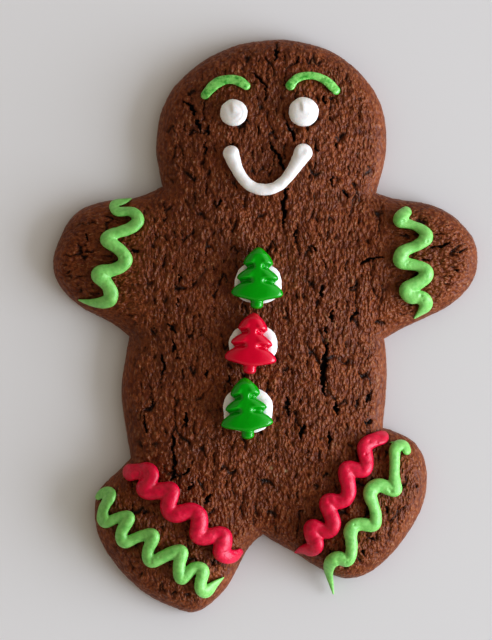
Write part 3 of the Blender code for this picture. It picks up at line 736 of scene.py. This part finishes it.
def sweepStrand(route, settings, seed):
    # A section carried along the route: an ellipse above its widest place, and a fuller foot
    # below that is sunk into the crust. Its size wobbles with noise along the route.
    route = roundedEnds(smoothThrough(route, icing["step"]))
    along = np.concatenate([[0], np.cumsum(np.linalg.norm(np.diff(route[:, :2], axis=0), axis=1))])
    ahead = unit(np.gradient(route[:, :2], axis=0))
    sideways = np.column_stack([ahead[:, 1], -ahead[:, 0]])
    beat = np.column_stack([along, np.zeros(len(along))])
    halfWidth = route[:, 2] * (1 + icing["wobble"] * noise(beat, 1.6, seed))
    tall = settings["height"] * route[:, 2] * (1 + icing["wobble"] * noise(beat, 2.1, seed + 1))
    turn = np.arange(icing["sides"]) / icing["sides"] * 2 * math.pi
    cos, sin = np.cos(turn), np.sin(turn)
    widest = icing["widestAt"]
    fullness = settings.get("flat", 1.0)      # under 1, the top is flatter
    across = np.where(sin > 0, np.sign(cos) * np.abs(cos) ** fullness,
                      np.sign(cos) * np.abs(cos) ** 0.6)
    up = np.where(sin > 0, widest + (1 - widest) * sin, widest * (1 + sin))
    flat = route[:, None, :2] + sideways[:, None] * (halfWidth[:, None] * across)[..., None]
    under = inParts(icingHeight, flat.reshape(-1, 2)).reshape(flat.shape[:2])
    lift = np.zeros((len(route), 1))
    if "over" in settings:
        reach = icing["settleReach"]
        steps = np.arange(-reach, reach + 1) * icing["step"] / icing["settle"]
        bell = np.exp(-steps**2)
        lying = ease(ahead @ unit(np.array(settings["over"])), 0.2, 0.9)
        lying = np.convolve(np.pad(lying, reach, mode="edge"), bell, mode="valid")
        lift[:, 0] = icing["overlap"] * lying / bell.sum()
        lift[:, 0] *= ease(route[:, 2], 0.6, 1.3)
    height = under + icing["raised"] + lift + tall[:, None] * up
    height -= icing["sunk"] * np.maximum(-sin, 0)
    points = np.concatenate([flat, height[..., None]], axis=2).reshape(-1, 3)
    onTop = np.tile(np.maximum(sin, 0), len(route))
    return points, tubeFaces(len(route), icing["sides"], True), onTop


def markIcing(points, onTop, settings, seed):
    # Lowers the top of a strand: fine dents from noise, round pores, and the fine grooves of a
    # curled start, which wind inwards as a spiral.
    rough = settings.get("rough", 1.0)
    drop = rough * (0.06 * noise(points, 0.9, seed + 2) + 0.04 * noise(points, 0.5, seed + 3))
    for x, y, radius in settings.get("pores", ()):
        away = np.linalg.norm(points[:, :2] - (x, y), axis=1)
        drop += min(1.5 * radius, 0.4) * np.exp(-(away / radius) ** 2)
    if "curl" in settings:
        x, y, reach = settings["curl"]
        away = points[:, :2] - (x, y)
        far = np.linalg.norm(away, axis=1)
        winding = far / 0.95 - np.arctan2(away[:, 1], away[:, 0]) / (2 * math.pi)
        grooves = 0.5 + 0.5 * np.cos(2 * math.pi * winding)
        drop += 0.26 * grooves * (1 - ease(far, reach - 0.8, reach)) * ease(far, 0.3, 0.8)
    points[:, 2] -= drop * onTop
    return points


def makeStrand(name, settings, material, seed):
    # A strand and its wisps, joined into one skin by a fine grid and smoothed.
    points, faces, onTop = sweepStrand(settings["route"], settings, seed)
    for wisp in settings.get("wisps", ()):
        more, moreFaces, moreOnTop = sweepStrand(wisp, {"height": settings["height"]}, seed)
        faces += [[corner + len(points) for corner in face] for face in moreFaces]
        points, onTop = np.concatenate([points, more]), np.concatenate([onTop, moreOnTop])
    points = markIcing(points, onTop, settings, seed)
    piece = addMesh(camelName(name), points, faces, material, name)
    joined = piece.modifiers.new("join folds", "REMESH")
    joined.mode = "VOXEL"
    joined.voxel_size = icing["cell"] * mm
    joined.use_smooth_shade = True
    smoothed = piece.modifiers.new("smooth", "SMOOTH")
    smoothed.iterations = 3


blob = {
    "rings": 46,
    "sides": 120,
    "footAngle": 55,         # degrees below its widest ring at which a blob's foot starts
    "widestAt": 0.32,        # share of the height
    "uneven": (0.035, 0.015),    # of the ring, in slow and in quick waves, as shares
    "corners": 2.5,          # power for a pressed dot's ring: 2 is round, and more is squarer
}

# The eyes are dots of icing whose curled tips point up. Dots under the trees are pressed flat.
# Each has a centre, a radius and a height.
eyes = {
    "eye_left": (-7.5, 50.0, 3.2, 2.7),
    "eye_right": (8.9, 50.2, 3.5, 2.9),
}
dots = {
    "dot_top": (-1.8, 10.0, 5.4, 1.3),
    "dot_middle": (-2.9, -4.5, 5.6, 1.3),
    "dot_bottom": (-4.2, -19.7, 5.8, 1.3),
}
dotShare = {"dot_top": 0.88, "dot_middle": 0.84, "dot_bottom": 0.9}    # height over width


def eyeTop(places, radius):
    # A ridge from near the upper edge to a curled tip in the middle, steep on its left.
    across, along = places[:, 0], places[:, 1]
    lean = across + 0.12 * along
    side = np.where(lean < 0, 0.45, 1.1)
    reach = ease(along, -0.5, 0.4) * (1 - ease(along, 0.45 * radius, 0.95 * radius))
    ridge = 0.3 * np.exp(-(lean / side) ** 2) * reach
    dent = 0.1 * np.exp(-((lean + 0.8) / 0.6) ** 2 - ((along - 0.35 * radius) / 1.0) ** 2)
    swirl = 0.1 * np.exp(-((np.hypot(across, along) - 0.62 * radius) / 0.35) ** 2)
    return ridge - dent - swirl * ease(across, -0.5, 1.0)


def dotTop(places, radius):
    # Uneven, as icing is when something is pressed into it and it wells up at the sides.
    spots = np.column_stack([places, np.full(len(places), radius)])
    welling = ease(np.hypot(*places.T), 0.45 * radius, 0.8 * radius)
    return 0.22 * noise(spots, 2.4, 71) + 0.35 * welling


def makeBlob(name, placing, top, squareness, share, level, material, seed):
    # Rings of a dome from a foot in the crust to the middle of the top: in a quarter of a
    # superellipse, share of width and share of height follow powers of cosine and sine. A
    # pressed dot is shorter than it is wide, and its ring has fuller corners than an ellipse.
    x, y, radius, height = placing
    rings, sides, widest = blob["rings"], blob["sides"], blob["widestAt"]
    climb = np.radians(np.linspace(-blob["footAngle"], 90, rings))
    turn = np.arange(sides) / sides * 2 * math.pi
    circle = np.column_stack([np.cos(turn), np.sin(turn)])
    slow, quick = blob["uneven"]
    rim = 1 + slow * noise(circle * 1.5 + seed, 1.0, seed) + quick * noise(circle * 4, 1.0, seed)
    if level:
        rim *= (np.abs(circle) ** blob["corners"]).sum(axis=1) ** (-1 / blob["corners"])
    power = 2 / squareness
    inward = np.where(climb > 0, np.cos(climb) ** power, np.cos(climb) ** 0.5)
    inward[-1] = 0
    up = np.where(climb > 0, widest + (1 - widest) * np.abs(np.sin(climb)) ** power,
                  widest * (1 + np.sin(climb) / math.sin(math.radians(blob["footAngle"]))))
    flat = (circle[None] * (radius * inward[:, None] * rim)[..., None]).reshape(-1, 2)
    flat[:, 1] *= share
    under = inParts(icingHeight, flat + (x, y))
    if level:
        own = icingHeight(np.array([(x, y)]))[0]
        under = under + (own - under) * np.repeat(np.clip(up, 0, 1), sides)
    raised = np.repeat(np.clip(np.sin(climb), 0, 1), sides)
    tall = under + icing["raised"] + height * np.repeat(up, sides)
    tall -= icing["sunk"] * (np.repeat(climb, sides) < 0)
    tall += top(flat, radius) * raised
    tall[-sides:] = tall[-sides:].mean()
    points = np.column_stack([flat + (x, y), tall])[:-sides + 1]
    faces = [list(range(sides))[::-1]]
    for i in range(rings - 2):
        faces += band(i * sides, (i + 1) * sides, sides)
    last = (rings - 2) * sides
    faces += [[last + i, last + (i + 1) % sides, last + sides] for i in range(sides)]
    addMesh(camelName(name), points, faces, material, name)


def royalIcing(name, colour, shade, mottle, roughness, cloudy):
    # Royal icing, piped and set: satin, slightly translucent, with fine pits. The mottle is
    # where more or less colour has dried near the surface, and `cloudy` is how much light
    # wanders through it.
    material, tree, shader, places = startMaterial(name, {
        "Roughness": roughness, "IOR": 1.47, "Subsurface Weight": cloudy,
        "Subsurface Radius": (1.0, 0.8, 0.7), "Subsurface Scale": 1.4 * cloudy * mm})
    patches = spread(tree, grain(tree, places, 1.2, 3, 0.6), 0.42, 0.66, 0, mottle)
    tree.links.new(blend(tree, patches, linear(colour), linear(shade)), shader.inputs["Base Color"])
    normal = bumps(tree, grain(tree, places, 0.5, 2), 0.08, 0.6)
    tree.links.new(normal, shader.inputs["Normal"])
    return material


icingMaterials = {
    "green_icing": royalIcing("greenRoyalIcing", "8acc6e", "6cb656", 0.8, 0.4, 0.3),
    "brow_icing": royalIcing("greenRoyalIcingThin", "90da76", "40a038", 1.0, 0.16, 0.3),
    "red_icing": royalIcing("redRoyalIcing", "d4063e", "b80030", 0.9, 0.4, 0.3),
    "white_icing": royalIcing("whiteRoyalIcing", "ebe9e6", "e2dfdb", 0.5, 0.5, 0.6),
}
for index, (name, settings) in enumerate(strands.items()):
    makeStrand(name, settings, icingMaterials[settings["colour"]], 100 + 10 * index)
for name, placing in eyes.items():
    makeBlob(name, placing, eyeTop, 2.7, 1.0, False, icingMaterials["white_icing"], 21)
for index, (name, placing) in enumerate(dots.items()):
    makeBlob(name, placing, dotTop, 2.6, dotShare[name], True, icingMaterials["white_icing"],
             30 + index)
print("icing:", len(strands), "strands,", len(eyes), "eyes and", len(dots), "dots")


# The sugar trees

sugarTree = {
    "length": 14.6,
    "thickness": 3.2,
    "tips": ((4.1, 3.5), (7.5, 4.9), (10.9, 6.1)),    # of the tiers: along the tree, half width
    "notchDepth": 1.1,       # how far each notch cuts in behind the tips above it
    "notchLength": 0.85,
    # Below the last tips: how far, and what share of their half width is left there.
    "hem": ((0.4, 0.97), (0.8, 0.86), (1.1, 0.67), (1.4, 0.42), (1.65, 0.246)),
    "trunkHalfWidth": 1.5,
    "rimShare": 0.3,         # share of the thickness at which a tree is widest
    "creaseDepth": 1.15,
    "creaseWidth": 0.5,
    "creaseSlant": 0.6,      # how far down a crease runs from the middle to the edge
    "beadHeight": 0.28,      # of the swelling above a crease
    "footDip": (1.6, 0.18),      # at the trunk's start: how far below the last tips, and depth
    "stations": 170,
    "sides": 80,
}

# Each tree's pointed end, the turn of its axis from straight down in degrees, the dot that it
# sits on and its colour.
trees = {
    "tree_top": ((-1.6, 18.5), -2.0, "dot_top", "green_candy"),
    "tree_middle": ((-2.7, 3.2), -4.5, "dot_middle", "red_candy"),
    "tree_bottom": ((-5.0, -12.0), 3.5, "dot_bottom", "green_candy"),
}


def treeOutline():
    # Half width along the tree: each tier swings out to its tips as a quarter sine, a notch
    # cuts back in behind them, and the last tier runs in to the trunk. Ends are rounded.
    along, half = [0.0], [0.0]
    start, startWidth = 0.0, 0.5
    for tip, tipWidth in sugarTree["tips"]:
        shares = np.linspace(0.04, 1, 24)
        along += list(start + (tip - start) * shares)
        half += list(startWidth + (tipWidth - startWidth) * np.sin(shares * math.pi / 2))
        if tip != sugarTree["tips"][-1][0]:
            start, startWidth = tip + sugarTree["notchLength"], tipWidth - sugarTree["notchDepth"]
            along.append(start)
            half.append(startWidth)
    tip, tipWidth = sugarTree["tips"][-1]
    along += [tip + below for below, share in sugarTree["hem"]]
    half += [tipWidth * share for below, share in sugarTree["hem"]]
    cap = np.linspace(0, 1, 12)
    along += list(sugarTree["length"] - 0.9 * (1 - cap))
    half += list(sugarTree["trunkHalfWidth"] * np.sqrt(1 - cap**2 * 0.9999))
    fine = np.linspace(0, sugarTree["length"], 600)
    width = np.interp(fine, along, half)
    bell = np.exp(-np.linspace(-2, 2, 33) ** 2)
    padded = np.pad(width, 16, mode="reflect", reflect_type="odd")
    smooth = np.convolve(padded, bell / bell.sum(), mode="valid")
    smooth[[0, -1]] = 0.03
    return fine, np.maximum(smooth, 0.03)


def makeTree(name, placing, material, seed):
    # Flat-backed, pillow-shaped sections from the pointed end to the trunk. A crease runs in
    # from each notch, a little upwards, and fades towards the middle.
    tip, turnDegrees, dot, slot = placing
    fine, width = treeOutline()
    along = np.linspace(0, sugarTree["length"], sugarTree["stations"])
    half = np.interp(along, fine, width)
    turn = np.arange(sugarTree["sides"]) / sugarTree["sides"] * 2 * math.pi
    cos, sin = np.cos(turn), np.sin(turn)
    share = np.sign(cos) * np.abs(cos) ** np.where(sin > 0, 0.85, 0.5)
    share = np.broadcast_to(share, (len(along), len(turn)))
    fullness = np.clip(0.25 + 0.75 * (half / 2.2) ** 0.7, 0, 1)[:, None]
    thick = sugarTree["thickness"] * fullness
    rim = sugarTree["rimShare"]
    up = thick * np.where(sin > 0, rim + (1 - rim) * np.abs(sin) ** 0.8,
                          rim * (1 - np.abs(sin) ** 0.7))
    slant = sugarTree["creaseSlant"]
    for notch, tipWidth in sugarTree["tips"][:-1]:
        line = notch + slant * np.abs(share)
        side = ease(np.abs(share), 0.2, 0.5) * np.maximum(sin, 0) ** 0.5
        away = (along[:, None] - line) / sugarTree["creaseWidth"]
        up = up - sugarTree["creaseDepth"] * side * np.exp(-away**2)
        up = up + sugarTree["beadHeight"] * side * np.exp(-((away + 2.2) / 1.4) ** 2)
    below, dip = sugarTree["footDip"]
    foot = sugarTree["tips"][-1][0] + below
    up = up - dip * np.maximum(sin, 0) * np.exp(-((along[:, None] - foot) / 0.5) ** 2)
    angle = math.radians(turnDegrees)
    down = np.array([math.sin(angle), -math.cos(angle)])
    right = np.array([math.cos(angle), math.sin(angle)])
    flat = np.array(tip) + down * along[:, None, None] + right * (half[:, None] * share)[..., None]
    x, y, radius, height = dots[dot]
    base = icingHeight(np.array([(x, y)]))[0] + icing["raised"] + height
    points = np.concatenate([flat, (base + up)[..., None]], axis=2).reshape(-1, 3)
    points[:, 2] += 0.05 * noise(points, 2.2, seed) * np.tile(np.maximum(sin, 0), len(along))
    faces = tubeFaces(len(along), sugarTree["sides"], False)
    addMesh(camelName(name), points, faces, material, name)


def boiledSugar(name, colour):
    # Boiled sugar pressed in a mould: a hard gloss over a deep, slightly cloudy colour.
    material, tree, shader, places = startMaterial(name, {
        "Roughness": 0.12, "IOR": 1.5, "Subsurface Weight": 0.08,
        "Subsurface Radius": (1.0, 1.0, 1.0), "Subsurface Scale": 0.6 * mm,
        "Base Color": linear(colour)})
    normal = bumps(tree, grain(tree, places, 1.1, 2), 0.06, 0.5)
    tree.links.new(normal, shader.inputs["Normal"])
    return material


candyMaterials = {
    "green_candy": boiledSugar("greenBoiledSugar", "00980c"),
    "red_candy": boiledSugar("redBoiledSugar", "cc0030"),
}
for index, (name, placing) in enumerate(trees.items()):
    makeTree(name, placing, candyMaterials[placing[3]], 200 + index)
print("trees:", len(trees))


# The table, the light and the camera

def makeTable():
    # A flat square, big enough to fill every view.
    half = 3.0
    mesh = bpy.data.meshes.new("table")
    corners = [(-half, -half, 0), (half, -half, 0), (half, half, 0), (-half, half, 0)]
    mesh.from_pydata(corners, [], [(0, 1, 2, 3)])
    material, tree, shader, places = startMaterial("paintedTable", {
        "Base Color": linear("dedddc"), "Roughness": 0.6, "Specular IOR Level": 0.3})
    mesh.materials.append(material)
    table = bpy.data.objects.new("table", mesh)
    bpy.context.scene.collection.objects.link(table)


# Distances and sizes are in metres here, unless marked mm, and the lamp's power is in watts.
studio = {
    "lampTurn": -14,         # degrees from +X, anticlockwise
    "lampRise": 17,          # degrees above the table
    "lampDistance": 1.6,
    "lampSize": (1.28, 1.12),
    "lampPower": 33.5,
    "lampColour": (0.802, 0.866, 1.0),
    "spill": 1.55,           # of the lamp's colour, from the walls on its side
    "room": (0.475, 0.422, 0.348),
    "farSide": 0.85,         # share of the room's light that comes from the side facing the lamp
    "overhead": (0.72, 0.95, 0.25),      # rise at which the room dims, is dimmest, and what is left
    "cameraHeight": 1.5,
    "cameraCentre": (-4.6, 1.4),         # mm
    "viewHeight": 151.0,     # mm that the view's long side covers at the biscuit's rim
}


def makeStudio():
    scene = bpy.context.scene
    turn, rise = math.radians(studio["lampTurn"]), math.radians(studio["lampRise"])
    level = math.cos(rise)
    away = Vector((math.cos(turn) * level, math.sin(turn) * level, math.sin(rise)))
    data = bpy.data.lights.new("window", "AREA")
    data.shape = "RECTANGLE"
    data.size, data.size_y = studio["lampSize"]
    data.energy = studio["lampPower"]
    data.color = studio["lampColour"]
    lamp = bpy.data.objects.new("window", data)
    lamp.location = away * studio["lampDistance"]
    lamp.rotation_euler = away.to_track_quat("Z", "Y").to_euler()
    scene.collection.objects.link(lamp)

    # The room is warm, dim overhead, where someone leans over the table, and dimmer on the side
    # that faces the lamp. On the lamp's side the walls add its light, as the square of how far
    # round to that side they stand.
    world = bpy.data.worlds.new("room")
    world.use_nodes = True
    tree = world.node_tree
    aim = addNode(tree, "TexCoord", {}, {}).outputs["Generated"]
    sides = addNode(tree, "SeparateXYZ", {}, {"Vector": aim}).outputs
    low, high, left = studio["overhead"]
    warm = blend(tree, spread(tree, sides["Z"], low, high), studio["room"] + (1,),
                 tuple(part * left for part in studio["room"]) + (1,))
    farSide = spread(tree, sides["X"], 0, -1, 1, studio["farSide"])
    warm = blend(tree, 1.0, warm, farSide, "MULTIPLY")
    toLamp = spread(tree, sides["X"], 0, 1)
    square = addNode(tree, "Math", {"operation": "MULTIPLY"}, {0: toLamp, 1: toLamp}).outputs[0]
    walls = tuple(part * studio["spill"] for part in studio["lampColour"]) + (1,)
    tree.links.new(blend(tree, square, warm, walls, "ADD"),
                   tree.nodes["Background"].inputs["Color"])
    scene.world = world

    camera = bpy.data.cameras.new("camera")
    rimDistance = studio["cameraHeight"] - biscuit["rimHeight"] * mm
    camera.lens = camera.sensor_width * rimDistance / (studio["viewHeight"] * mm)
    seat = bpy.data.objects.new("camera", camera)
    x, y = studio["cameraCentre"]
    seat.location = (x * mm, y * mm, studio["cameraHeight"])
    scene.collection.objects.link(seat)
    scene.camera = seat
    scene.view_settings.view_transform = "Standard"
    scene.view_settings.look = "Medium High Contrast"


makeTable()
makeStudio()
print("table, light and camera")
